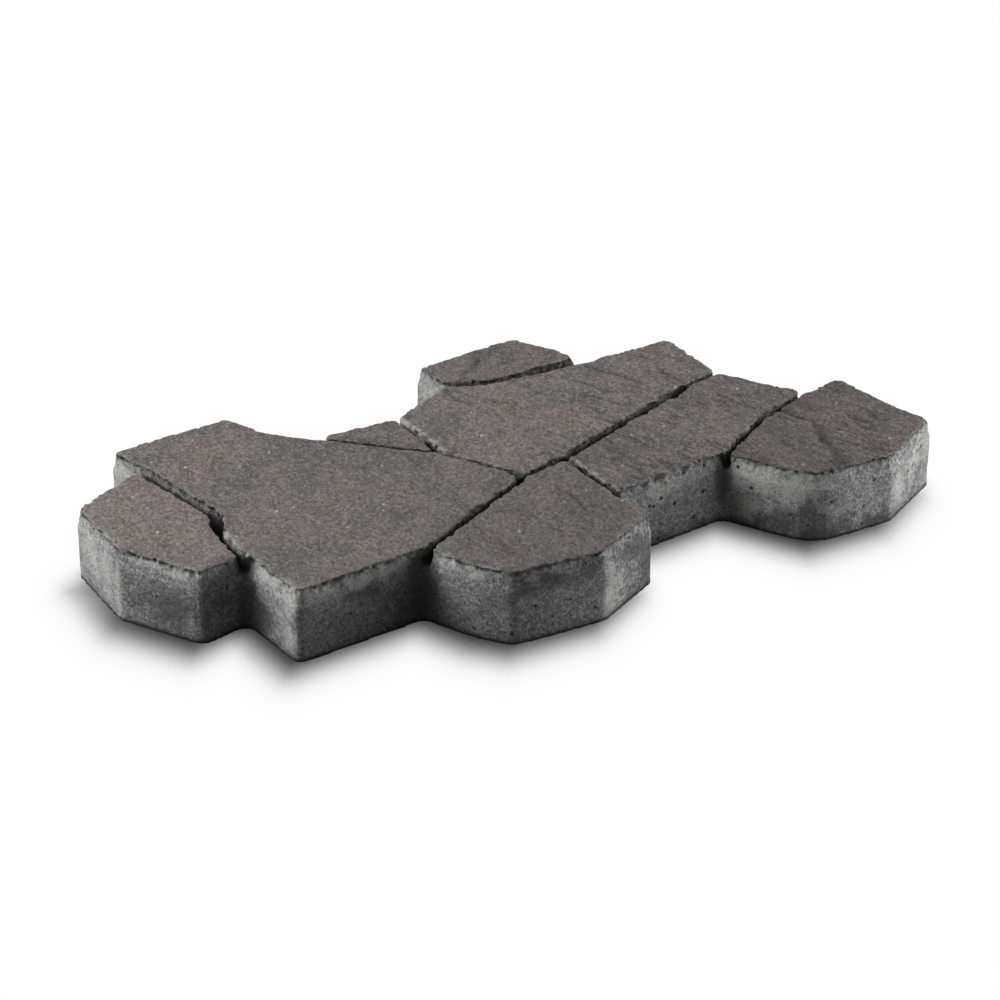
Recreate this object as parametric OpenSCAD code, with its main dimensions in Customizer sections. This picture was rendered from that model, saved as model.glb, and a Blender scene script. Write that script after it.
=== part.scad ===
// Cast concrete paving stone whose face is moulded as eight natural flagstones.
// The outline interlocks with copies of itself: every outer edge meets the like edge of a
// neighbour one step away along X, along Y or along both. Lengths are in millimetres.

/* [Laying pattern] */
// Step from one laid paver to the next along X
pitch_x = 575; // [480:5:700]
// Step from one laid paver to the next along Y
pitch_y = 290; // [240:5:360]
// Open joint between two laid pavers, wall to wall
laying_gap = 2.5; // [0:0.5:6]

/* [Slab] */
// Thickness from the bed to the walking face
slab_t = 60; // [45:1:100]
// Radius of the upright outer corners
corner_r = 7; // [3:0.5:12]
// Radius in the notches where the false joints run out
notch_r = 9; // [3:0.5:14]

/* [Moulded face] */
// Depth of the false joints below the walking face
joint_depth = 15; // [8:0.5:22]
// Width of an ordinary false joint, under the arris
joint_w = 6; // [4:0.25:10]
// Width of an ordinary false joint at its floor
joint_floor_w = 3; // [1.5:0.25:4]
// Width of a tight false joint, under the arris
tight_joint_w = 2.5; // [2:0.25:5]
// Width of a tight false joint at its floor
tight_floor_w = 1; // [0.5:0.25:2]
// Ledge left on the outer wall by the face mould
shoulder_w = 0.5; // [0.4:0.1:2]
// Distance that the outer sides lean in above the ledge
side_lean = 0.6; // [0.2:0.1:3]
// Height and width of the eased arris round each stone
arris = 1.3; // [0.6:0.1:3]
// Radius of a stone's corner beside a false joint
stone_r = 5; // [2:0.5:8]
// Radius of the large stone's nose, where three joints meet
nose_r = 14; // [5:1:20]
// Radius of the top stone's end, where its joint widens
top_end_r = 8; // [3:0.5:12]

/* [Hidden] */

corner_steps = 4;      // flats round one corner
root = 2;              // depth by which the stones are keyed into the slab
arris_bow = 0.3;       // share of the arris left beside its middle ring, for a rounded look
gentle_turn = 20;      // degrees up to which a bend counts as almost straight
floor_z = slab_t - joint_depth;

step_x = [pitch_x, 0];
step_y = [0, pitch_y];

// A corner of the layout, in thousandths of the two steps
function at(x, y) = [x * pitch_x, y * pitch_y] / 1000;

// Corners on the outline; the opposite side has the same ones, a step further
left_cheek = at(-573, 98);
left_heel = at(-515, -150);
left_large_foot = at(-443, -120);
left_large_head = at(-430, 495);
large_heel = at(-444, -368);
large_bottom_end = at(-247, -355);
bottom_flank = at(-223, -507);
bottom_heel = at(-188, -603);
bottom_toe = at(-54, -626);
bottom_cheek = at(64, -525);
bottom_middle_end = at(60, -374);
middle_right_end = at(250, -350);
right_flank = at(286, -522);
right_heel = at(306, -609);
right_toe = at(441, -622);

// Corners inside the face, where false joints meet or bend
left_large_upper_bend = at(-413, 140);
left_large_lower_bend = at(-438, 18);
wedge_tip = at(-62, 98);
large_nose = at(-12, -147);
bottom_middle_tip = at(67, -109);
centre_middle_bend = at(366, 82);
middle_right_bend = at(378, -217);
top_centre_bend = at(125, 416);

// What lies along an edge: the outer wall, an ordinary joint or a tight one
outer = 0;
joint = 1;
tight = 2;

// Distance from the layout line to the stone's side, at the joint floor and under the arris
foot_inset = [laying_gap / 2 + shoulder_w, joint_floor_w / 2, tight_floor_w / 2];
side_inset = [foot_inset[outer] + side_lean, joint_w / 2, tight_joint_w / 2];

// Each stone anticlockwise: corner, what lies along the edge after it, and its own radius if any
left_stone = [
    [left_heel, outer], [left_large_foot, joint], [left_large_lower_bend, joint],
    [left_large_upper_bend, joint], [left_large_head, outer],
    [right_toe - step_x + step_y, outer], [left_cheek, outer]
];
large_stone = [
    [large_heel, outer], [large_bottom_end, joint], [large_nose, tight, nose_r], [wedge_tip, tight],
    [bottom_heel + step_y, outer], [bottom_flank + step_y, outer],
    [large_bottom_end + step_y, outer], [large_heel + step_y, outer], [left_large_head, joint],
    [left_large_upper_bend, joint], [left_large_lower_bend, joint], [left_large_foot, outer]
];
wedge_stone = [
    [wedge_tip, joint], [bottom_toe + step_y, outer], [bottom_heel + step_y, tight]
];
top_stone = [
    [bottom_cheek + step_y, joint], [top_centre_bend, joint], [right_heel + step_y, outer, top_end_r],
    [right_flank + step_y, outer], [middle_right_end + step_y, outer],
    [bottom_middle_end + step_y, outer]
];
centre_stone = [
    [large_nose, joint], [bottom_middle_tip, joint], [centre_middle_bend, joint],
    [left_cheek + step_x, outer], [right_toe + step_y, outer], [right_heel + step_y, joint],
    [top_centre_bend, joint], [bottom_cheek + step_y, outer], [bottom_toe + step_y, joint],
    [wedge_tip, tight]
];
middle_stone = [
    [bottom_middle_end, outer], [middle_right_end, joint], [middle_right_bend, joint],
    [left_heel + step_x, outer], [left_cheek + step_x, joint], [centre_middle_bend, joint],
    [bottom_middle_tip, tight]
];
right_stone = [
    [middle_right_end, outer], [right_flank, outer], [right_heel, outer], [right_toe, outer],
    [left_large_head + step_x - step_y, outer], [large_heel + step_x, outer],
    [left_large_foot + step_x, outer], [left_heel + step_x, joint], [middle_right_bend, joint]
];
bottom_stone = [
    [large_bottom_end, outer], [bottom_flank, outer], [bottom_heel, outer], [bottom_toe, outer],
    [bottom_cheek, outer], [bottom_middle_end, tight], [bottom_middle_tip, joint],
    [large_nose, joint]
];
stones = [
    left_stone, large_stone, wedge_stone, top_stone,
    centre_stone, middle_stone, right_stone, bottom_stone
];

// The outer wall's lower half from the left stone to the right one, then its upper half back
lower_side = [
    left_heel, left_large_foot, large_heel, large_bottom_end, bottom_flank, bottom_heel,
    bottom_toe, bottom_cheek, bottom_middle_end, middle_right_end, right_flank, right_heel,
    right_toe, left_large_head + step_x - step_y, large_heel + step_x, left_large_foot + step_x,
    left_heel + step_x
];
upper_side = [
    left_cheek + step_x, right_toe + step_y, right_heel + step_y, right_flank + step_y,
    middle_right_end + step_y, bottom_middle_end + step_y, bottom_cheek + step_y,
    bottom_toe + step_y, bottom_heel + step_y, bottom_flank + step_y,
    large_bottom_end + step_y, large_heel + step_y, left_large_head,
    right_toe - step_x + step_y, left_cheek
];

function unit(v) = v / norm(v);
function before(list, i) = list[(i + len(list) - 1) % len(list)];
function after(list, i) = list[(i + 1) % len(list)];

function is_gentle(line, i) =
    unit(line[i] - before(line, i)) * unit(after(line, i) - line[i]) > cos(gentle_turn);

// A closed line with each edge moved to its left by its own distance. At a gentle bend the
// corner takes the mean of the two distances.
function moved_in(line, insets) = [
    for (i = [0 : len(line) - 1])
        let (e = unit(line[i] - before(line, i)), f = unit(after(line, i) - line[i]))
        let (mitre = [-e.y - f.y, e.x + f.x] / (1 + e * f))
        line[i] + (is_gentle(line, i) ? mitre * (before(insets, i) + insets[i]) / 2
                                      : (f * before(insets, i) - e * insets[i]) / cross(e, f))
];

// The same line with each corner turned into an arc of corner_steps flats. A gentle bend,
// judged on the layout line, stays one point.
function rounded(line, radii, layout) = [
    for (i = [0 : len(line) - 1])
        let (e = unit(line[i] - before(line, i)), f = unit(after(line, i) - line[i]))
        let (angle = atan2(cross(e, f), e * f), side = sign(angle))
        let (start = line[i] - e * radii[i] * tan(abs(angle) / 2))
        let (middle = start + [-e.y, e.x] * radii[i] * side)
        let (heading = atan2(e.y, e.x) - 90 * side)
        each is_gentle(layout, i) ? [line[i]] : [
            for (k = [0 : corner_steps])
                let (a = heading + angle * k / corner_steps)
                middle + radii[i] * [cos(a), sin(a)]
        ]
];

// Outline of the slab: corners rounded, notches filled with a larger radius
wall_line = concat(lower_side, upper_side);
wall_radii = [
    for (i = [0 : len(wall_line) - 1])
        cross(wall_line[i] - before(wall_line, i), after(wall_line, i) - wall_line[i]) > 0
            ? corner_r : notch_r
];
wall_gaps = [for (corner = wall_line) laying_gap / 2];
slab_outline = rounded(moved_in(wall_line, wall_gaps), wall_radii, wall_line);
slab_xs = [for (p = slab_outline) p.x];
slab_ys = [for (p = slab_outline) p.y];
slab_middle = [min(slab_xs) + max(slab_xs), min(slab_ys) + max(slab_ys)] / 2;

// One level of a stone's side, "share" of the way from the joint floor to the arris
function stone_radii(stone) = [
    for (i = [0 : len(stone) - 1])
        len(stone[i]) > 2 ? stone[i][2]
            : stone[i][1] == outer && before(stone, i)[1] == outer ? corner_r : stone_r
];
function stone_ring(stone, share, extra, z) =
    let (layout = [for (c = stone) c[0]])
    let (insets = [for (c = stone) foot_inset[c[1]] * (1 - share) + side_inset[c[1]] * share + extra])
    [for (p = rounded(moved_in(layout, insets), stone_radii(stone), layout)) [p.x, p.y, z]];

// Solid through a stack of rings with the same number of points. Each end is a fan round the
// middle of its ring, from which all of the ring can be seen.
function mean(points) = [for (p = points) 1] * points / len(points);
module loft(rings) {
    n = len(rings[0]);
    last = (len(rings) - 1) * n;
    low_middle = len(rings) * n;
    high_middle = low_middle + 1;
    sides = [
        for (r = [0 : len(rings) - 2], i = [0 : n - 1])
            [r * n + i, (r + 1) * n + i, (r + 1) * n + (i + 1) % n, r * n + (i + 1) % n]
    ];
    low_end = [for (i = [0 : n - 1]) [low_middle, i, (i + 1) % n]];
    high_end = [for (i = [0 : n - 1]) [high_middle, last + (i + 1) % n, last + i]];
    polyhedron(
        points = concat([for (ring = rings) each ring], [mean(rings[0]), mean(rings[len(rings) - 1])]),
        faces = concat(low_end, sides, high_end)
    );
}

module stone_cap(stone) {
    loft([
        stone_ring(stone, -root / (joint_depth - arris), 0, floor_z - root),
        stone_ring(stone, 1, 0, slab_t - arris),
        stone_ring(stone, 1, arris * arris_bow, slab_t - arris * arris_bow),
        stone_ring(stone, 1, arris, slab_t)
    ]);
}

module paving_stone() {
    color("#736a67")
        translate([-slab_middle.x, -slab_middle.y, 0]) {
            linear_extrude(height = floor_z) polygon(slab_outline);
            for (stone = stones) stone_cap(stone);
        }
}

paving_stone();
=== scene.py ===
import itertools
import math

import bmesh
import bpy
import numpy as np
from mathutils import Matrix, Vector, kdtree


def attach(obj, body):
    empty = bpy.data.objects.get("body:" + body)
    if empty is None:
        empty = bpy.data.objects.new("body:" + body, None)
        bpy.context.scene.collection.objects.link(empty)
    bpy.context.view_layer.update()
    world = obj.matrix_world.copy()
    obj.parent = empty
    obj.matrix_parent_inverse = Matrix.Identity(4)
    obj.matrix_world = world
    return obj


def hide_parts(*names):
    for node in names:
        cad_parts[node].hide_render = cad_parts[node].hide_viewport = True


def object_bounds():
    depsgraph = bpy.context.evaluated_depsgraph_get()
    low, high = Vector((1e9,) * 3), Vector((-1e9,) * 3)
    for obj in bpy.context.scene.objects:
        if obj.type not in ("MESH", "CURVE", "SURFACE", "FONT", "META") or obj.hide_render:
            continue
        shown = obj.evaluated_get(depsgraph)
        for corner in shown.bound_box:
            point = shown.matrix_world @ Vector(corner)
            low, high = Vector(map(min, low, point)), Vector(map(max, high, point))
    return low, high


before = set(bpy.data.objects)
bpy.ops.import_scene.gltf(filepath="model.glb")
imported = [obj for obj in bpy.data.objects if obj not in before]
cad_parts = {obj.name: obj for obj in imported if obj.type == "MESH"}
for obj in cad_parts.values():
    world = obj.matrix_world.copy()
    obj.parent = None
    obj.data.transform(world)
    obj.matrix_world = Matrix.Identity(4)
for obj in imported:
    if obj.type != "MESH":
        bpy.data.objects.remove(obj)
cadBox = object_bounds()
print("frame loaded")


# helpers

def hexToLinear(code):
    # "#rrggbb" as a painter writes it, to the linear values that a shader takes
    channels = [int(code[i:i + 2], 16) / 255 for i in (1, 3, 5)]
    linear = [c / 12.92 if c <= 0.04045 else ((c + 0.055) / 1.055) ** 2.4 for c in channels]
    return (*linear, 1)


def addNode(tree, kind, inputs=None, **settings):
    node = tree.nodes.new(kind)
    for name, value in settings.items():
        setattr(node, name, value)
    for socket, value in (inputs or {}).items():
        if isinstance(value, bpy.types.NodeSocket):
            tree.links.new(value, node.inputs[socket])
        else:
            node.inputs[socket].default_value = value
    return node


def ramp(values, low, high):
    # 0 at low, 1 at high, smooth between; low may be the larger one
    share = np.clip((values - low) / (high - low), 0, 1)
    return share * share * (3 - 2 * share)


def lumps(points, size, seed):
    # smooth random field from 0 to 1 whose lumps are about "size" across
    table = np.random.RandomState(seed).rand(4096)
    turn = 0.5 + seed  # each field lies at its own angle, so that no grid shows
    x = points[:, 0] * math.cos(turn) - points[:, 1] * math.sin(turn)
    y = points[:, 0] * math.sin(turn) + points[:, 1] * math.cos(turn)
    cells = np.column_stack([x, y, *points.T[2:]]) / size
    corner = np.floor(cells).astype(np.int64)
    share = cells - corner
    share = share * share * (3 - 2 * share)
    steps = np.array([73856093, 19349663, 83492791])[:cells.shape[1]]
    total = np.zeros(len(points))
    for pick in itertools.product((0, 1), repeat=cells.shape[1]):
        weight = np.prod(np.where(pick, share, 1 - share), axis=1)
        key = np.bitwise_xor.reduce((corner + pick) * steps, axis=1)
        total += weight * table[key % 4096]
    return total


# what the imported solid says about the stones, in mm

solid = bmesh.new()
solid.from_mesh(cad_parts["paving_stone"].data)
bmesh.ops.remove_doubles(solid, verts=solid.verts, dist=1e-6)
solid.faces.index_update()
topZ = cadBox[1][2] * 1000


def flatOutlines(facing):
    # the outline of each flat island that faces up (1) or down (-1), as edges with the inside on their left
    level = topZ if facing > 0 else 0
    flats = {f for f in solid.faces
             if f.normal.z * facing > 0.99 and abs(f.calc_center_median().z * 1000 - level) < 0.01}
    outlines = []
    while flats:
        island = {flats.pop()}
        front = list(island)
        while front:
            face = front.pop()
            near = {other for edge in face.edges for other in edge.link_faces} & flats
            flats -= near
            island |= near
            front += near
        edges = []
        for face in sorted(island, key=lambda face: face.index):  # the same order in each run
            for loop in face.loops:
                if sum(other in island for other in loop.edge.link_faces) == 1:
                    ends = [loop.vert.co, loop.link_loop_next.vert.co][::facing]
                    edges.append([ends[0].x, ends[0].y, ends[1].x, ends[1].y])
        outlines.append(np.array(edges) * 1000)
    return sorted(outlines, key=lambda edges: edges[:, 0].mean())


# the stones moulded on the face: middle in mm, brightness of the face, which is partly the stone's own tone
# and partly painted light and shade, greenness of the face, and the depth in mm and the way in degrees of its
# ripples
flagstones = {
    "left": {"middle": (-280, 36), "toneAndLight": 1.125, "green": 0.05, "ripple": 0.45, "run": -60},
    "large": {"middle": (-171, 30), "toneAndLight": 1.075, "green": 0.9, "ripple": 0.5, "run": -85},
    "wedge": {"middle": (-56, 82), "toneAndLight": 1.045, "green": 1, "ripple": 0.2, "run": -80},
    "bottom": {"middle": (-39, -129), "toneAndLight": 0.995, "green": 0.75, "ripple": 0.8, "run": -94},
    "centre": {"middle": (82, 63), "toneAndLight": 1.245, "green": 0.9, "ripple": 1.2, "run": -73},
    "top": {"middle": (96, 146), "toneAndLight": 1.085, "green": 1, "ripple": 0.7, "run": 33},
    "middle": {"middle": (154, -52), "toneAndLight": 1.105, "green": 0.75, "ripple": 1.3, "run": -78},
    "right": {"middle": (245, -126), "toneAndLight": 0.87, "green": 0.7, "ripple": 1.2, "run": -76},
}

flatTops = flatOutlines(1)
bedOutline = flatOutlines(-1)[0]
stoneOutlines = {}
for stoneName, stone in flagstones.items():
    stoneOutlines[stoneName] = min(
        flatTops, key=lambda edges: math.dist(edges[:, :2].mean(0), stone["middle"]))
print("stones on the face:", len(stoneOutlines))


def insideDistance(places, outline):
    # distance to an outline, positive inside, and the direction that leads inwards
    nearest = np.full(len(places), 1e9)
    inward = np.zeros((len(places), 2))
    inside = np.zeros(len(places), bool)
    x, y = places.T
    for ax, ay, bx, by in outline:
        dx, dy = bx - ax, by - ay
        length = math.hypot(dx, dy)
        share = np.clip(((x - ax) * dx + (y - ay) * dy) / length ** 2, 0, 1)
        gap = np.hypot(x - ax - dx * share, y - ay - dy * share)
        closer = gap < nearest
        nearest[closer] = gap[closer]
        inward[closer] = (-dy / length, dx / length)
        if ay != by:
            crosses = (ay > y) != (by > y)
            inside ^= crosses & (x < (bx - ax) * (y - ay) / (by - ay) + ax)
    return np.where(inside, nearest, -nearest), inward


def stoneField(points):
    # for each point: its stone, the distance inwards from that stone's edge and the way inwards
    layer = 24   # mm under the face that are asked for a stone
    margin = 12  # mm round a stone that may still belong to it
    count = len(points)
    stone = np.zeros(count, int)
    distance = np.full(count, -1e3)
    inward = np.zeros((count, 2))
    upper = points[:, 2] > topZ - layer
    for number, outline in enumerate(stoneOutlines.values()):
        low = outline[:, :2].min(0) - margin
        high = outline[:, :2].max(0) + margin
        close = np.flatnonzero(upper & np.all((points[:, :2] > low) & (points[:, :2] < high), axis=1))
        here, way = insideDistance(points[close, :2], outline)
        better = here > distance[close]
        chosen = close[better]
        stone[chosen] = number
        distance[chosen] = here[better]
        inward[chosen] = way[better]
    return stone, distance, inward


# the cast body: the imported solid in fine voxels, worn and riven, then thinned out

pavingStone = {
    "voxel": 1.1,         # mm
    "triangles": 190000,
    "jointDepth": 15,     # mm, as in the solid
    "arris": 1.3,         # mm, as in the solid
    "raggedEdge": 3,      # mm that the outer edge wanders inwards
    "raggedJoint": 3.4,   # mm that the edges beside ordinary and tight joints wander to and fro
    "raggedTight": 1.8,
    "leastWear": 0.4,     # mm by which the arris is rounded off everywhere
    # chips off the arris: the deepest in mm, mm along the edge, how rare the deep ones are, seed
    "chips": [(0.8, 5, 1, 33), (5, 11, 5, 34), (3.4, 3.2, 5, 35), (0.8, 2.5, 2, 39)],
    "undercut": 1.6,      # mm that the wall is torn back under the lip
    "faceLevel": 0.1,     # mm that the highest places of the face lie under the solid's top
    # swells of the face: depth and mm across
    "swells": [(0.8, 60), (0.5, 22), (0.3, 9)],
    # ripples of the face: how many times longer than wide, mm across, seed
    "ripples": [(9, 10, 11), (6, 5, 12)],
    "wallGrain": 0.9,     # mm
    "bluntCorner": 1.6,   # mm, how softly the upright corners are rounded
    "bluntReach": 24,     # mm from the wall that the blunting pulls along
    # corners that are rounded off more: place, how far that reaches and how soft it is in mm
    "roundCorners": [(178, -178, 34, 15), (-285, -44, 16, 5), (-252, -105, 12, 3), (-127, -150, 22, 12)],
    # arris broken away: place, reach along the edge and size in mm
    "spalls": [
        (80, -104, 8, 9), (128, -105, 8, 4), (188, -180, 22, 3), (262, -178, 9, 3),
        (-308, -12, 10, 3), (-252, -76, 9, 3), (-128, -140, 9, 3), (-88, -179, 7, 2.5), (-30, -181, 8, 3),
        (20, 20, 9, 3), (110, 0, 8, 3), (-70, -70, 9, 3), (60, 118, 9, 3),
        (168, 116, 10, 6), (-8, -44, 8, 4), (40, -112, 7, 5),
    ],
    # tight joints, painted dark with shade from their edges down
    "tightJoints": [[(-6, -46), (-34, 25), (-107, 112)], [(40, -35), (36, -112)]],
    # pockets where joints meet or run out, painted dark with shade in the same way: place and reach in mm
    "shadedPockets": [(-242, 30, 17), (-6, -44, 6), (40, -33, 6), (145, -103, 8), (37, -113, 6), (-246, -36, 10)],
    # joints that are narrower than in the solid, or wider where negative: mm on each side, places along it
    "closings": [
        (1.3, [(-254, -30), (-252, -2)]),
        (-0.8, [(-238, 50), (-242, 95), (-246, 140)]),
        (2.1, [(145, -105), (218, -66), (280, -47)]),
        (2.2, [(214, 20), (246, 25)]),
        (1.2, [(38, 134), (73, 117), (100, 115)]),
        (-1.4, [(118, 114), (172, 110)]),
        (1.4, [(0, -44), (34, -36)]),
        (0.8, [(-6, -46), (-34, 25), (-107, 112)]),
        (-1, [(40, -44), (36, -112)]),
        (1.7, [(-130, -101), (-12, -49)]),
        (0.7, [(48, -32), (200, 17)]),
        (1.9, [(-33, 36), (-30, 105)]),
    ],
    # places where the wall stands further in: place, reach and shift in mm
    "dents": [(174, 119, 15, -5, 2), (-107, -179, 18, -4, 2)],
    # creases of the riven face: depth and width in mm, then places along it
    "creases": [
        (2.2, 4.6, [(240, -106), (227, -128), (221, -148), (211, -170)]),
        (1.8, 3.0, [(92, 160), (71, 145), (52, 131)]),
        (2.4, 2.4, [(160, 96), (164, 80), (171, 62), (178, 38)]),
        (1.6, 2.2, [(132, 84), (139, 62), (141, 44)]),
        (1.8, 2.2, [(205, 52), (208, 38), (206, 24)]),
        (1.5, 2.0, [(214, -10), (216, -30), (222, -52)]),
        (1.5, 2.0, [(236, -66), (240, -84), (244, -98)]),
        (1.3, 2.0, [(2, -78), (4, -98), (-2, -122)]),
    ],
}


def modified(mesh, kind, **settings):
    # the mesh as one modifier leaves it
    holder = bpy.data.objects.new("pavingStoneRough", mesh)
    bpy.context.scene.collection.objects.link(holder)
    modifier = holder.modifiers.new(kind, kind)
    for name, value in settings.items():
        setattr(modifier, name, value)
    depsgraph = bpy.context.evaluated_depsgraph_get()
    result = bpy.data.meshes.new_from_object(holder.evaluated_get(depsgraph))
    bpy.data.objects.remove(holder)
    return result


def triangleCount(mesh):
    return sum(len(polygon.vertices) - 2 for polygon in mesh.polygons)


def pointsOf(mesh):
    points = np.empty(len(mesh.vertices) * 3, np.float32)
    mesh.vertices.foreach_get("co", points)
    normals = np.empty(len(mesh.vertices) * 3, np.float32)
    mesh.vertex_normals.foreach_get("vector", normals)
    return points.reshape(-1, 3).astype(float) * 1000, normals.reshape(-1, 3).astype(float)


def movePoints(mesh, points):
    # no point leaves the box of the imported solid
    points = np.clip(points / 1000, cadBox[0], cadBox[1])
    mesh.vertices.foreach_set("co", points.astype(np.float32).ravel())
    mesh.update()


def gapTo(places, line):
    # distance from a line through several places
    nearest = np.full(len(places), 1e9)
    for start, end in zip(line, line[1:]):
        start, end = np.array(start, float), np.array(end, float)
        way = end - start
        share = np.clip((places - start) @ way / (way @ way), 0, 1)
        nearest = np.minimum(nearest, np.hypot(*(places - start - share[:, None] * way).T))
    return nearest


def gapToAny(places, lines):
    return np.min([gapTo(places, line) for line in lines], axis=0)


def gapFrom(places, x, y):
    # distance in plan from one place
    return np.hypot(places[:, 0] - x, places[:, 1] - y)


def riven(places, stone):
    # depth of the ripples and creases of the face, in mm
    depth = np.zeros(len(places))
    for number, look in enumerate(flagstones.values()):
        mine = np.flatnonzero(stone == number)
        turn = math.radians(look["run"])
        along = places[mine] @ (math.cos(turn), math.sin(turn))
        across = places[mine] @ (-math.sin(turn), math.cos(turn))
        across += 7 * lumps(places[mine], 34, 5)
        strength = 0.3 + 0.7 * ramp(lumps(places[mine], 26, 7), 0.3, 0.7)
        for length, width, seed in pavingStone["ripples"]:
            ridge = np.abs(2 * lumps(np.column_stack([along / length, across]), width, seed + 2 * number) - 1)
            depth[mine] += look["ripple"] * strength * (1 - ridge) ** 8
    bent = places + 3 * lumps(places, 17, 20)[:, None] - 1.5
    for deep, width, line in pavingStone["creases"]:
        depth += deep * np.exp(-(gapTo(bent, line) / width) ** 2) * (0.4 + 0.8 * lumps(places, 10, 21))
    return depth


def facePit(places, stone):
    # how far the riven face lies under its highest level, in mm
    depth = np.full(len(places), pavingStone["faceLevel"])
    for seed, (deep, size) in enumerate(pavingStone["swells"], 1):
        depth += deep * lumps(places, size, seed)
    return depth + riven(places, stone)


def softened(ring, width):
    # how far each place of a closed ring moves when the ring is blurred over so many steps
    count = len(ring)
    steps = np.minimum(np.arange(count), count - np.arange(count))
    weight = np.exp(-(steps / width) ** 2 / 2)
    weight /= weight.sum()
    blurred = np.fft.ifft(np.fft.fft(ring, axis=0) * np.fft.fft(weight)[:, None], axis=0)
    return blurred.real - ring


def bluntedCorners():
    # places about 1 mm apart along the outer wall, and how far each one moves when its corners are blunted
    following = {tuple(np.round(edge[:2], 1)): edge for edge in bedOutline}
    corners = [bedOutline[0]]
    while len(corners) < len(bedOutline):
        corners.append(following[tuple(np.round(corners[-1][2:], 1))])
    corners = np.array(corners + corners[:1])[:, :2]
    way = np.concatenate([[0], np.cumsum(np.hypot(*np.diff(corners, axis=0).T))])
    stops = np.linspace(0, way[-1], int(way[-1]), endpoint=False)
    places = np.column_stack([np.interp(stops, way, corners[:, 0]), np.interp(stops, way, corners[:, 1])])
    shift = softened(places, pavingStone["bluntCorner"])
    for x, y, reach, soft in pavingStone["roundCorners"]:
        share = ramp(gapFrom(places, x, y), 2 * reach, 0.6 * reach)[:, None]
        shift = shift * (1 - share) + softened(places, soft) * share
    return places, shift


def wearDown(mesh):
    points, normals = pointsOf(mesh)
    stone, distance, inward = stoneField(points)
    outerGap = insideDistance(points[:, :2], bedOutline)[0]
    jointDepth = pavingStone["jointDepth"]
    below = topZ - points[:, 2]
    upper = below < jointDepth + 3
    inset = distance + pavingStone["arris"]
    # the edge wanders and is chipped: both are read on the edge itself, so that face and side agree
    edgePlace = points[:, :2] - inward * np.clip(inset, -4, 12)[:, None]
    edgePoint = np.column_stack([edgePlace, points[:, 2]])
    ragged = 0.4 * lumps(edgePlace, 11, 31) + 0.45 * lumps(edgePoint, 5, 32)
    ragged += 0.6 * lumps(edgePoint, 2.8, 36) ** 2
    beside = ramp(outerGap, 3, 9)  # 0 at the outer wall, 1 beside a joint
    tight = ramp(gapToAny(points[:, :2], pavingStone["tightJoints"]), 9, 5)
    joint = pavingStone["raggedJoint"] * (1 - tight) + pavingStone["raggedTight"] * tight
    wander = ragged * pavingStone["raggedEdge"] * (1 - beside) + (ragged - 0.15) * joint * beside
    for narrower, line in pavingStone["closings"]:
        wander -= narrower * beside * ramp(gapTo(points[:, :2], line), 13, 9)
    wander *= ramp(below, jointDepth + 3, 2) * ramp(inset, 9, 0) * upper
    # under the lip the wall is torn back
    lip = ramp(below, 1, 2.4) * ramp(below, 6, 3.2) * ramp(inset, 2, 0) * ramp(outerGap, 6, 3)
    wander += pavingStone["undercut"] * lip * ramp(lumps(edgePlace, 7, 37), 0.4, 0.8)
    points[:, :2] += inward * wander[:, None]
    # the arris is rounded off by its wear, chips and spalls
    radius = np.full(len(points), pavingStone["leastWear"])
    for deepest, size, rare, seed in pavingStone["chips"]:
        radius += deepest * lumps(edgePlace, size, seed) ** rare
    for x, y, reach, size in pavingStone["spalls"]:
        near = np.exp(-(gapFrom(edgePlace, x, y) / reach) ** 2)
        radius += size * near * (0.5 + lumps(edgePlace, 6, 38))
    deep = np.clip(inset, 0, None)
    reach = np.hypot(radius - deep, radius - below)
    cut = upper & (deep < radius) & (below < radius) & (reach > radius)
    keep = np.where(cut, radius / np.maximum(reach, 1e-6), 1)
    shift = np.where(cut, (radius - deep) * (1 - keep), 0)
    points[:, :2] += inward * shift[:, None]
    points[:, 2] -= np.where(cut, (radius - below) * (1 - keep), 0)
    # the face drops to its riven level, and the sides of the stones shrink with it
    lift = np.clip((points[:, 2] - topZ + jointDepth) / jointDepth, 0, 1)
    points[:, 2] -= lift * facePit(points[:, :2], stone)
    # the cast walls are a little uneven
    wall = ramp(np.abs(normals[:, 2]), 0.75, 0.4)
    grain = 0.6 * lumps(points, 16, 41) + 0.4 * lumps(points, 7, 42)
    grain *= ramp(points[:, 2], 0, 5)
    points -= normals * (wall * grain * pavingStone["wallGrain"])[:, None]
    # blunted upright corners
    places, shift = bluntedCorners()
    tree = kdtree.KDTree(len(places))
    for number, place in enumerate(places):
        tree.insert((*place, 0), number)
    tree.balance()
    pulled = pavingStone["bluntReach"]
    close = np.flatnonzero(outerGap < pulled)
    nearest = [tree.find((x, y, 0))[1] for x, y in points[close, :2]]
    points[close, :2] += shift[nearest] * ramp(outerGap[close], pulled, 4)[:, None]
    for x, y, reach, right, back in pavingStone["dents"]:
        share = np.exp(-(gapFrom(points, x, y) / reach) ** 2)
        points[:, :2] += share[:, None] * (right, back)
    movePoints(mesh, points)


plainMesh = bpy.data.meshes.new("pavingStonePlain")
solid.to_mesh(plainMesh)
fineMesh = modified(plainMesh, "REMESH", mode="VOXEL", voxel_size=pavingStone["voxel"] / 1000)
print("voxel mesh:", len(fineMesh.polygons), "faces")
wearDown(fineMesh)
thinner = min(1, pavingStone["triangles"] / triangleCount(fineMesh))
stoneMesh = modified(fineMesh, "DECIMATE", ratio=thinner)
movePoints(stoneMesh, pointsOf(stoneMesh)[0])
stoneMesh.name = "flagstonePaver"
for polygon in stoneMesh.polygons:
    polygon.use_smooth = True
stonePiece = bpy.data.objects.new("flagstonePaver", stoneMesh)
bpy.context.scene.collection.objects.link(stonePiece)
print("worn mesh:", triangleCount(stoneMesh), "triangles")


# where each part of the cast surface lies, kept on the mesh for its material

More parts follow.
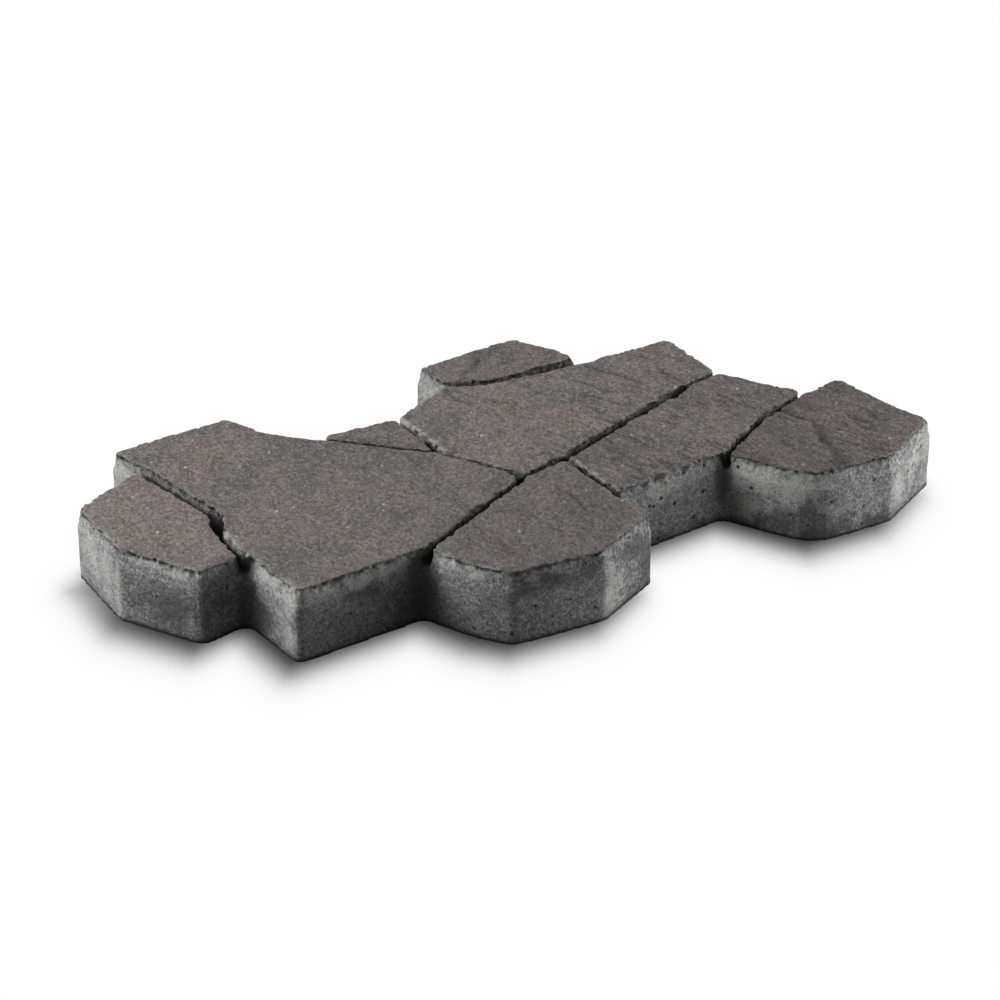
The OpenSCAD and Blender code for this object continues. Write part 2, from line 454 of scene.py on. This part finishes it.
surfaceMarks = {
    # lime bloom, with a few patches of painted light among it, damp, stains, open pores and coarse texture on
    # the walls: place, reach along the wall and up it in mm, strength
    "limeAndPaintedLight": [
        (-252, -60, 55, 18, 7, 0.9), (-252, -80, 53, 16, 9, 1), (-252, -98, 46, 10, 15, 1),
        (-253, -98, 16, 9, 12, 0.9), (-253, -86, 30, 9, 8, 0.5),
        # the last patch on the next line, only 2.8 mm wide, is a painted highlight along the upright corner
        (-321, 78, 34, 26, 26, 0.6), (-324, 47, 32, 16, 26, 0.7), (-327, 25, 20, 2.8, 26, 1.6),
        (-317, 5, 55, 13, 4, 1.2), (-308, -14, 55, 13, 4, 1.1), (-300, -32, 54, 13, 5, 1.3),
        (-133, -126, 54, 13, 6, 0.8), (-126, -148, 52, 14, 6, 0.6),
        (152, -116, 44, 11, 15, 1), (160, -138, 44, 15, 14, 1), (172, -164, 44, 17, 13, 1),
        # painted light: these two lift the foot of this wall, where the stone beside it shades it
        (154, -124, 16, 12, 14, 0.7), (162, -142, 22, 10, 8, 0.5),
        (192, -180, 48, 16, 8, 0.5), (225, -180, 36, 20, 12, 0.25),
        (270, -177, 24, 14, 18, 0.8), (292, -167, 34, 18, 16, 0.9), (314, -157, 42, 12, 12, 0.6),
        (38, 160, 40, 26, 24, 0.45), (-249, 164, 40, 26, 24, 0.5),
        (-228, -108, 52, 20, 7, 0.75), (-196, -107, 51, 20, 6, 0.75), (-166, -106, 51, 20, 6, 0.65),
        (-16, -179, 14, 16, 18, 1.5), (-22, -182, 38, 8, 10, 0.8), (6, -170, 55, 34, 3, 0.7),
        (80, -108, 46, 24, 10, 0.45),
        (36, -62, 59, 9, 2.5, 0.5), (38, -94, 59, 10, 2.5, 0.5), (-32, 70, 56, 26, 4, 0.5),
    ],
    "damp": [
        (234, -180, 7, 18, 9, 0.6), (254, -178, 4, 12, 7, 0.5), (-98, -177, 44, 14, 8, 0.9),
        (28, -160, 26, 13, 30, 0.75), (-320, 8, 24, 13, 26, 0.6), (300, -164, 57, 40, 5, 0.5),
        (145, -104, 38, 8, 26, 1.2), (182, -178, 4, 30, 8, 0.7),
        (-190, -107, 14, 60, 16, 0.3), (-72, -180, 45, 20, 9, 0.95), (-42, -182, 49, 16, 9, 0.9),
        (17, -165, 38, 17, 11, 0.8), (0, -172, 44, 14, 8, 0.75), (-275, -41, 25, 22, 25, 0.5),
        (-142, -108, 26, 14, 50, 1.1), (-252, -62, 20, 12, 14, 0.9), (-304, -20, 24, 36, 24, 0.8),
        (-250, -38, 20, 14, 50, 1),
        (-200, -107, 30, 30, 14, 0.2), (-170, -107, 24, 30, 16, 0.4),
    ],
    "stain": [
        (153, -118, 4, 12, 8, 0.8), (160, -134, 8, 12, 14, 0.75), (168, -154, 14, 13, 16, 1.05),
        (180, -174, 14, 16, 17, 1.1), (206, -180, 9, 20, 12, 0.95), (240, -180, 6, 18, 9, 0.8),
        (80, -108, 6, 22, 9, 0.8), (120, -106, 5, 20, 8, 0.8), (-190, -107, 40, 40, 9, 0.6),
        (-260, -60, 24, 10, 14, 0.5), (-70, -181, 47, 34, 7, 0.6),
    ],
    "porous": [(90, -108, 28, 48, 30, 1.2), (138, -104, 24, 22, 36, 1.2), (165, -148, 16, 34, 18, 1.1)],
    "coarse": [(6, -168, 24, 26, 40, 1), (294, -162, 30, 24, 50, 0.9), (-252, -85, 35, 20, 30, 0.5)],
    # how each kind of patch sets in: seed, how ragged it is, the two levels between which it shows, and how
    # much its middle stands out
    "patchLooks": {
        "limeAndPaintedLight": (51, 0.55, 0.16, 0.72, 0.2),
        "damp": (61, 0.8, 0.3, 0.57, 0.8),
        "stain": (67, 1.3, 0.48, 0.6, 0),
        "porous": (63, 0.8, 0.12, 0.75, 0),
        "coarse": (65, 0.8, 0.12, 0.75, 0),
    },
    # lips with the pigment worn off: place, reach along the edge and width in mm
    "wornLips": [
        (-134, -118, 22, 6), (-122, -155, 18, 4), (4, -170, 32, 4.5), (-300, -32, 14, 4), (-250, -95, 16, 5),
        (-245, -45, 12, 5), (80, -104, 12, 4), (-325, 46, 26, 3),
    ],
    # edges beside joints with pale crumbs
    "paleEdges": [[(46, -42), (43, -108)], [(-27, 32), (-26, 98)], [(-247, -32), (-245, 0)]],
}


def patches(points, places, look):
    seed, ragged, low, high, fade = look
    total = np.zeros(len(points))
    for x, y, z, along, rise, strength in places:
        flat = (gapFrom(points, x, y) / along) ** 2
        total = np.maximum(total, strength * np.exp(-flat - ((points[:, 2] - z) / rise) ** 2))
    broken = 0.6 * lumps(points, 10, seed) + 0.4 * lumps(points, 4, seed + 1)
    share = ramp(total + ragged * (broken - 0.5), low, high) * ramp(total, 0.02, 0.15)
    return share * (1 - fade + fade * total)


def markSurface(mesh):
    points, normals = pointsOf(mesh)
    stone, distance, inward = stoneField(points)
    below = topZ - points[:, 2]
    outerGap = insideDistance(points[:, :2], bedOutline)[0]
    under = below - facePit(points[:, :2], stone)  # below the riven face
    face = ramp(normals[:, 2], 0.3, 0.7) * ramp(under, 3.4, 1.4) * ramp(distance, -2.5, -0.5)
    worn = np.zeros(len(points))
    for x, y, reach, width in surfaceMarks["wornLips"]:
        near = np.exp(-(gapFrom(points, x, y) / reach) ** 2)
        face *= 1 - near * ramp(distance + 5 * lumps(points, 5, 81), width + 4, width)
        worn = np.maximum(worn, near)
    pale = ramp(gapToAny(points[:, :2], surfaceMarks["paleEdges"]), 6, 3)
    pale *= ramp(under, 3.6, 2.2) * ramp(distance, 3, 1)
    # the false joints get painted shade and dirt, dark at the bottom, and tight joints and pockets get
    # painted shade from the edge down
    sunk = ramp(outerGap, 2.5, 6) * (below < pavingStone["jointDepth"] + 2)
    for x, y, reach, soft in pavingStone["roundCorners"]:
        sunk *= ramp(gapFrom(points, x, y), reach, 1.5 * reach)
    tightPocketShade = 0.6 * ramp(gapToAny(points[:, :2], pavingStone["tightJoints"]), 7, 4)
    for x, y, reach in pavingStone["shadedPockets"]:
        tightPocketShade = np.maximum(tightPocketShade, ramp(gapFrom(points, x, y), reach, 0.6 * reach))
    # painted shade in torn spots, and a broken dark line of painted shadow just under the lip
    edgePlace = points - np.column_stack([inward * distance[:, None], np.zeros(len(points))])
    tornPitShade = ramp(under, 0.5, 1.3) * ramp(under, 4.5, 2.5) * (distance > -6)
    tornPitShade *= ramp(lumps(edgePlace, 3, 71) + 0.4 * lumps(edgePlace, 14, 72), 0.72, 0.95)
    lipShadowLine = ramp(under, 0.4, 1) * ramp(under, 2.8, 1.6) * (distance > -6)
    lipShadowLine *= ramp(lumps(edgePlace, 6, 73), 0.3, 0.55) * (1 - worn)
    toneAndLight = np.array([look["toneAndLight"] for look in flagstones.values()])
    green = np.array([look["green"] for look in flagstones.values()])
    marks = {
        "walkingFace": face,
        # painted shade in the hollows of the ripples and creases
        "hollowShade": face * ramp(riven(points[:, :2], stone), 0.3, 1.5),
        "green": face * green[stone],
        # each stone's face tone, partly painted light and shade
        "stoneToneAndLight": 1 + face * (toneAndLight[stone] - 1),
        "jointSide": sunk * ramp(under, 0.5, 1.4),
        "jointShadeAndDirt": sunk * np.maximum(0.85 * ramp(under, 5.5, 8.5), tightPocketShade * ramp(under, 1.4, 3.2)),
        "lipShade": np.maximum(tornPitShade, 0.7 * lipShadowLine),
        "paleEdge": pale * ramp(lumps(points, 3.5, 83), 0.35, 0.6),
        # painted contact shade with grime, darker towards the foot, and a painted dark line of contact shadow
        # along the foot, but not on the bed
        "footShadeAndGrime": ramp(points[:, 2], 9, 0) * ramp(normals[:, 2], -0.97, -0.85),
        "footShadowLine": ramp(points[:, 2], 2.8, 1.2) * ramp(normals[:, 2], -0.97, -0.85),
    }
    for kind, look in surfaceMarks["patchLooks"].items():
        marks[kind] = patches(points, surfaceMarks[kind], look)
    for name, values in marks.items():
        mark = mesh.attributes.new(name, "FLOAT", "POINT")
        mark.data.foreach_set("value", values.astype(np.float32))


markSurface(stoneMesh)


# concrete cast dry in a mould, so matt all over: brown pigment and sand on the riven face, plain grey grit,
# pores, pale lime with some painted light and dark damp on the walls, painted shade in the face's hollows,
# under the lip and along the foot, and painted shade with dirt, nearly black, where no light gets into the
# joints

castConcrete = {
    "wall": "#9c9c9c",
    "roughness": 0.92,
    "ior": 1.5,
    "sheen": 0.2,     # dusty and open-pored, so that it throws back less than its IOR would give
    "drawnWay": 55,   # degrees: the dry mix is drawn along this way as it is struck off
    "drawnOut": 1.5,  # how much longer its grains look along that way
    # how strongly each pattern is felt as bump, and its depth in m
    "bumps": {"sand": 0.5, "darkGrains": 0.4},
    "bumpDepth": 0.0004,
    # patterns: texture, output, mm across one grain or patch, and the values that give 0 and 1
    "patterns": {
        "mottle": ("ShaderNodeTexNoise", "Fac", 40, 0.46, 0.57),
        "warmth": ("ShaderNodeTexNoise", "Fac", 33, 0.5, 0.6),
        "blotch": ("ShaderNodeTexNoise", "Fac", 15, 0.42, 0.62),
        "cloud": ("ShaderNodeTexNoise", "Fac", 30, 0.4, 0.65),
        "bloom": ("ShaderNodeTexNoise", "Fac", 11, 0.5, 0.7),
        "sand": ("ShaderNodeTexNoise", "Fac", 1.5, 0.4, 0.66),  # coarser than real sand, so that it shows
        "darkGrains": ("ShaderNodeTexVoronoi", "Color", 1.7, 0.45, 0.25),
        "paleGrains": ("ShaderNodeTexVoronoi", "Color", 1.9, 0.58, 0.78),
        "crumbs": ("ShaderNodeTexVoronoi", "Color", 3.2, 0.5, 0.3),
        "pores": ("ShaderNodeTexVoronoi", "Distance", 9, 0.2, 0.13),
        "poreCells": ("ShaderNodeTexVoronoi", "Color", 9, 0.66, 0.72),
        "openPores": ("ShaderNodeTexVoronoi", "Distance", 9, 0.26, 0.16),
        "openPoreCells": ("ShaderNodeTexVoronoi", "Color", 9, 0.42, 0.5),
        "pinholes": ("ShaderNodeTexVoronoi", "Distance", 4.5, 0.2, 0.12),
        "pinholeCells": ("ShaderNodeTexVoronoi", "Color", 4.5, 0.55, 0.62),
        "specks": ("ShaderNodeTexVoronoi", "Distance", 13, 0.12, 0.08),
        "speckCells": ("ShaderNodeTexVoronoi", "Color", 13, 0.5, 0.6),
    },
    # layers of colour: patterns and marks on the mesh that it needs, strength, colour
    "layers": [
        (["cloud"], 0.4, "#7c7c7c"),
        (["blotch"], 0.25, "#7a7a7a"),
        # lime bloom, with some painted light among it
        (["limeAndPaintedLight"], 0.75, "#cbcbc9"),
        (["limeAndPaintedLight", "bloom"], 0.4, "#e2e2e0"),
        (["sand"], 0.54, "#666666"),
        (["darkGrains"], 0.5, "#464646"),
        (["paleGrains"], 0.44, "#cacaca"),
        (["limeAndPaintedLight"], 0.4, "#b9b9b7"),
        (["damp"], 0.75, "#474747"),
        (["stain"], 0.62, "#474747"),
        (["crumbs", "coarse"], 0.65, "#585858"),
        (["pores", "poreCells"], 0.85, "#2c2c2c"),
        (["openPores", "openPoreCells", "porous"], 0.95, "#161616"),
        (["pinholes", "pinholeCells"], 0.6, "#333333"),
        # painted contact shade with grime, and a painted contact-shadow line along the foot
        (["footShadeAndGrime"], 0.6, "#333333"),
        (["footShadowLine"], 0.85, "#121212"),
        (["walkingFace"], 1, "#837c7a"),
        (["warmth", "walkingFace"], 0.5, "#897a79"),
        (["cloud", "walkingFace"], 0.3, "#857d72"),
        (["mottle", "green"], 0.85, "#676b6b"),
        (["blotch", "walkingFace"], 0.35, "#6b6462"),
        (["sand", "walkingFace"], 0.53, "#5e5754"),
        (["darkGrains", "walkingFace"], 0.52, "#423c3a"),
        (["paleGrains", "walkingFace"], 0.44, "#a59d97"),
        # painted shade in the hollows of the face
        (["hollowShade"], 0.5, "#3f3b3a"),
        (["specks", "speckCells", "walkingFace"], 0.8, "#c4bcb6"),
        (["jointSide"], 0.95, "#6c6b68"),
        (["jointSide", "crumbs"], 0.65, "#2c2b2a"),
        (["jointSide", "paleGrains"], 0.4, "#94938f"),
        # painted shade in torn spots and a painted shadow line under the lip
        (["lipShade"], 0.88, "#1e1d1d"),
        # painted shade and dirt at the bottom of the joints, and painted shade in tight joints and pockets
        (["jointShadeAndDirt"], 0.97, "#100f0f"),
        (["paleEdge"], 0.75, "#aaa8a3"),
    ],
}


def concreteMaterial(look):
    material = bpy.data.materials.new("cast concrete")
    material.use_nodes = True
    tree = material.node_tree
    tree.nodes.clear()
    place = addNode(tree, "ShaderNodeMapping", {
        "Vector": addNode(tree, "ShaderNodeTexCoord").outputs["Object"],
        "Rotation": (0, 0, math.radians(look["drawnWay"])),
        "Scale": (look["drawnOut"], 1, 1),
    }, vector_type="TEXTURE").outputs[0]
    shares = {}
    for name, (kind, output, size, low, high) in look["patterns"].items():
        texture = addNode(tree, kind, {"Vector": place, "Scale": 1000 / size})
        share = addNode(tree, "ShaderNodeMapRange",
                        {"Value": texture.outputs[output], "From Min": low, "From Max": high})
        shares[name] = share.outputs[0]
    for mark in stoneMesh.attributes:
        if mark.domain == "POINT" and mark.data_type == "FLOAT":
            shares[mark.name] = addNode(tree, "ShaderNodeAttribute", attribute_name=mark.name).outputs["Fac"]
    colour = addNode(tree, "ShaderNodeRGB").outputs[0]
    colour.default_value = hexToLinear(look["wall"])
    for needs, strength, code in look["layers"]:
        share = strength
        for name in needs:
            product = addNode(tree, "ShaderNodeMath", {0: shares[name], 1: share}, operation="MULTIPLY")
            share = product.outputs[0]
        layer = addNode(tree, "ShaderNodeMix", {0: share, 6: colour, 7: hexToLinear(code)}, data_type="RGBA")
        colour = layer.outputs[2]
    # multiplied by each stone's face tone, which is partly painted light and shade
    toned = addNode(tree, "ShaderNodeMix", {0: 1, 6: colour, 7: shares["stoneToneAndLight"]},
                    data_type="RGBA", blend_type="MULTIPLY")
    normal = (0, 0, 0)
    for name, strength in look["bumps"].items():
        bump = addNode(tree, "ShaderNodeBump", {
            "Height": shares[name], "Strength": strength, "Distance": look["bumpDepth"], "Normal": normal,
        }, invert=True)
        normal = bump.outputs[0]
    shader = addNode(tree, "ShaderNodeBsdfPrincipled", {
        "Base Color": toned.outputs[2],
        "Specular IOR Level": look["sheen"],
        "Roughness": look["roughness"],
        "IOR": look["ior"],
        "Normal": normal,
    })
    addNode(tree, "ShaderNodeOutputMaterial", {"Surface": shader.outputs[0]})
    return material


stoneMesh.materials.clear()
stoneMesh.materials.append(concreteMaterial(castConcrete))
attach(stonePiece, "root")
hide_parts("paving_stone")
print("cast concrete done")


# the pale studio floor, white to the camera and with the stone's soft shadow on it

studioFloor = {
    "size": 14,           # m
    "fineReach": 0.52,    # m from the middle that carry the shadow
    "step": 0.008,        # m between the points that carry the shadow
    "bounce": "#7a7a7a",  # what the floor throws back on the stone
    "shadowWay": -125,    # degrees, the way in which the soft shadow falls
    "shadowFall": 24,     # mm along that way, and to the left of it
    "shadowAside": -7,
    "shadowSoft": 17,     # mm along that way, and how many times crisper across it
    "shadowCrisp": 2,
    # places beside the stone that the shadow hardly reaches: place and reach in mm, share of light let in
    "lighter": [(-348, 78, 48, 0.3), (40, -192, 36, 0.6), (322, -180, 45, 0.45)],
    "contactReach": 0.012,  # m
    "contact": 0.88,        # how much light is left right under the edge
}


def floorMesh(look):
    # fine only round the stone, where it holds the shade of the stone's outline
    edge = look["size"] / 2
    fine = np.arange(-look["fineReach"], look["fineReach"], look["step"])
    stops = np.concatenate([[-edge], fine, [edge]])
    count = len(stops)
    places = np.array([(x, y) for y in stops for x in stops])
    corners = [(x + y * count, x + 1 + y * count, x + 1 + (y + 1) * count, x + (y + 1) * count)
               for y in range(count - 1) for x in range(count - 1)]
    mesh = bpy.data.meshes.new("studioFloor")
    mesh.from_pydata([(x, y, 0) for x, y in places], [], corners)
    turn = math.radians(look["shadowWay"])
    axes = np.array([[math.cos(turn), -math.sin(turn)], [math.sin(turn), math.cos(turn)]])
    squeeze = (1, look["shadowCrisp"])
    moved = (places * 1000 @ axes - (look["shadowFall"], look["shadowAside"])) * squeeze
    edges = np.hstack([bedOutline[:, :2] @ axes * squeeze, bedOutline[:, 2:] @ axes * squeeze])
    depth = insideDistance(moved, edges)[0]
    steep = 1.7 / look["shadowSoft"]  # makes the step about as soft as a blur of that width
    openness = 1 / (1 + np.exp(np.clip(steep * depth, -30, 30)))
    for x, y, reach, share in look["lighter"]:
        openness += (1 - openness) * share * np.exp(-(gapFrom(places * 1000, x, y) / reach) ** 2)
    shade = mesh.attributes.new("openness", "FLOAT", "POINT")
    shade.data.foreach_set("value", openness.astype(np.float32))
    return mesh


def seenDirectly(tree):
    # 1 for what the camera sees, also by way of gloss or glass, and 0 for light thrown on the stone
    ray = addNode(tree, "ShaderNodeLightPath").outputs
    seen = ray["Is Camera Ray"]
    for kind in ("Is Glossy Ray", "Is Transmission Ray"):
        seen = addNode(tree, "ShaderNodeMath", {0: seen, 1: ray[kind]}, operation="MAXIMUM").outputs[0]
    return seen


def floorMaterial(look):
    material = bpy.data.materials.new("matt floor paint")
    material.use_nodes = True
    tree = material.node_tree
    tree.nodes.clear()
    openness = addNode(tree, "ShaderNodeAttribute", attribute_name="openness").outputs["Fac"]
    near = addNode(tree, "ShaderNodeAmbientOcclusion", {"Distance": look["contactReach"]}, samples=16)
    contact = addNode(tree, "ShaderNodeMapRange", {
        "Value": near.outputs["AO"], "From Min": 0.5, "From Max": 1, "To Min": look["contact"],
    })
    level = addNode(tree, "ShaderNodeMath", {0: openness, 1: contact.outputs[0]}, operation="MULTIPLY")
    shown = addNode(tree, "ShaderNodeEmission", {"Strength": level.outputs[0]})
    bounce = addNode(tree, "ShaderNodeBsdfDiffuse", {"Color": hexToLinear(look["bounce"])})
    mixed = addNode(tree, "ShaderNodeMixShader", {
        0: seenDirectly(tree), 1: bounce.outputs[0], 2: shown.outputs[0],
    })
    addNode(tree, "ShaderNodeOutputMaterial", {"Surface": mixed.outputs[0]})
    return material


floor = bpy.data.objects.new("studioFloor", floorMesh(studioFloor))
floor.data.materials.append(floorMaterial(studioFloor))
bpy.context.scene.collection.objects.link(floor)
print("floor laid")


# camera at the photograph's angle, for a square picture

camera = {
    "azimuth": -35,      # degrees round from straight in front
    "elevation": 26.42,  # degrees
    "distance": 2.2948,  # m
    "target": (0.02176, 0.02765, 0),
    "lens": 101.9,       # mm on a 36 mm sensor
}

turn = math.radians(camera["azimuth"])
rise = math.radians(camera["elevation"])
target = Vector(camera["target"])
toCamera = Vector((math.sin(turn), -math.cos(turn), 0))
toRight = Vector((math.cos(turn), math.sin(turn), 0))
up = Vector((0, 0, 1))
cameraData = bpy.data.cameras.new("camera")
cameraData.lens = camera["lens"]
cameraData.sensor_width = 36
cameraPiece = bpy.data.objects.new("camera", cameraData)
cameraPiece.location = target + camera["distance"] * (math.cos(rise) * toCamera + math.sin(rise) * up)
cameraPiece.rotation_euler = (target - cameraPiece.location).to_track_quat("-Z", "Y").to_euler()
bpy.context.scene.collection.objects.link(cameraPiece)
bpy.context.scene.camera = cameraPiece
print("camera set")


# soft boxes: to the right, towards the camera and up from the stone's middle in m; size in m; watts

softBoxes = {
    "leftBox": {"at": (-1.4, 0, 0.9), "size": (1.1, 0.7), "watts": 23.8},
    "leftFill": {"at": (-1.27, 0.59, 0.9), "size": (0.9, 0.5), "watts": 3.7},
    "rightBox": {"at": (1.32, -0.45, 0.3), "size": (0.9, 0.5), "watts": 13.4},
    "rightFill": {"at": (0.75, 0.2, 0.25), "size": (0.4, 0.35), "watts": 1.5},
}

for name, box in softBoxes.items():
    lampData = bpy.data.lights.new(name, "AREA")
    lampData.shape = "RECTANGLE"
    lampData.size, lampData.size_y = box["size"]
    lampData.energy = box["watts"]
    lamp = bpy.data.objects.new(name, lampData)
    right, near, high = box["at"]
    lamp.location = right * toRight + near * toCamera + high * up
    lamp.rotation_euler = (-lamp.location).to_track_quat("-Z", "Y").to_euler()
    lamp.visible_camera = False
    bpy.context.scene.collection.objects.link(lamp)

studioAir = {"light": 0.045}  # even light from all round

world = bpy.data.worlds.new("studioAir")
world.use_nodes = True
bpy.context.scene.world = world
airTree = world.node_tree
airTree.nodes.clear()
airLevel = addNode(airTree, "ShaderNodeMix", {0: seenDirectly(airTree), 2: studioAir["light"], 3: 1})
air = addNode(airTree, "ShaderNodeBackground", {"Strength": airLevel.outputs[0]})
addNode(airTree, "ShaderNodeOutputWorld", {"Surface": air.outputs[0]})
bpy.context.scene.view_settings.view_transform = "Standard"
print("studio lit")
